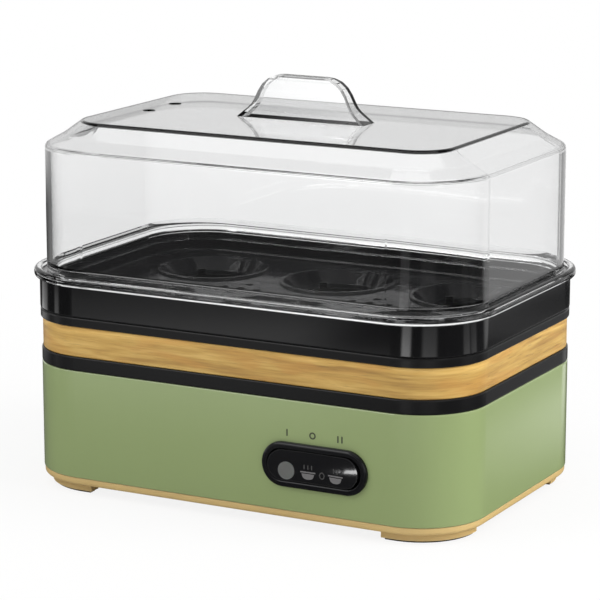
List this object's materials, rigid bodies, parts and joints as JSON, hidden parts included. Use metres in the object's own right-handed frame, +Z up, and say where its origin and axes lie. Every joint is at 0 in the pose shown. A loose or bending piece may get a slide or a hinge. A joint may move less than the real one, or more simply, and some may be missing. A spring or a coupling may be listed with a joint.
{
  "type": "egg cooker",
  "caption": "Electric egg steamer: a heated base with a wood band, a lift-out egg tray, a rocker switch and a clear lift-off lid with a fin handle.",
  "frame": {"origin": "middle of the footprint, on the surface that the feet stand on", "axes": "+Z up, +X to the right seen from the switch side, -Y towards the user, out of the face with the switch"},
  "size_m": [0.1856, 0.1272, 0.1538],
  "materials": {
    "beige_plastic": "fine satin, warm beige with a faint grain",
    "rubber": "matte",
    "screw_steel": "zinc plated",
    "green_shell": "high gloss sage green",
    "satin_black": "satin black",
    "wood": "light oak grain under satin lacquer",
    "stainless": "pressed stainless sheet, satin",
    "silicone": "matte translucent grey",
    "aluminium": "cast",
    "element_steel": "dull heat-tinted tube",
    "zinc_steel": "zinc plated sheet",
    "phenolic": "moulded phenolic",
    "fuse_sleeve": "woven glass sleeve",
    "nylon": "natural nylon",
    "wire_sleeve": "silicone wire sleeve",
    "gloss_black": "polished black",
    "brass": "stamped blades",
    "neon": "clear glass bulb",
    "lens": "frosted grey lens",
    "tray_black": "polished black",
    "clear_plastic": "clear polycarbonate, polished"
  },
  "bodies": {
    "base": {"base_plate": "beige_plastic", "feet": "beige_plastic", "foot_pads": "rubber", "base_screws": "screw_steel", "outer_shell": "green_shell", "lower_trim_ring": "satin_black", "wood_band": "wood", "upper_housing": "satin_black", "housing_screws": "screw_steel", "cord_gland": "rubber", "water_pan": "stainless", "pan_seal": "silicone", "heater_plate": "aluminium", "heating_element": "element_steel", "heater_straps": "zinc_steel", "strap_screws": "screw_steel", "thermostat": "phenolic", "thermal_fuse": "fuse_sleeve", "fuse_clip": "zinc_steel", "terminal_block": "nylon", "wiring": "wire_sleeve", "switch_bezel": "gloss_black", "switch_body": "phenolic", "switch_terminals": "brass", "neon_lamp": "neon"},
    "rocker": {"rocker": "gloss_black", "lamp_lens": "lens"},
    "egg_tray": {"egg_tray": "tray_black"},
    "lid": {"lid": "clear_plastic"}
  },
  "joints": [
    {"name": "tray_lift", "type": "slide", "parent": "base", "child": "egg_tray", "axis": [0, 0, 1], "range_m": [0, 0.06]},
    {"name": "lid_lift", "type": "slide", "parent": "egg_tray", "child": "lid", "axis": [0, 0, 1], "range_m": [0, 0.1]},
    {"name": "rocker_tilt", "type": "hinge", "parent": "base", "child": "rocker", "pos_m": [0.0356, -0.0559, 0.0237], "axis": [0, 0, 1], "range_deg": [-6, 6]}
  ]
}
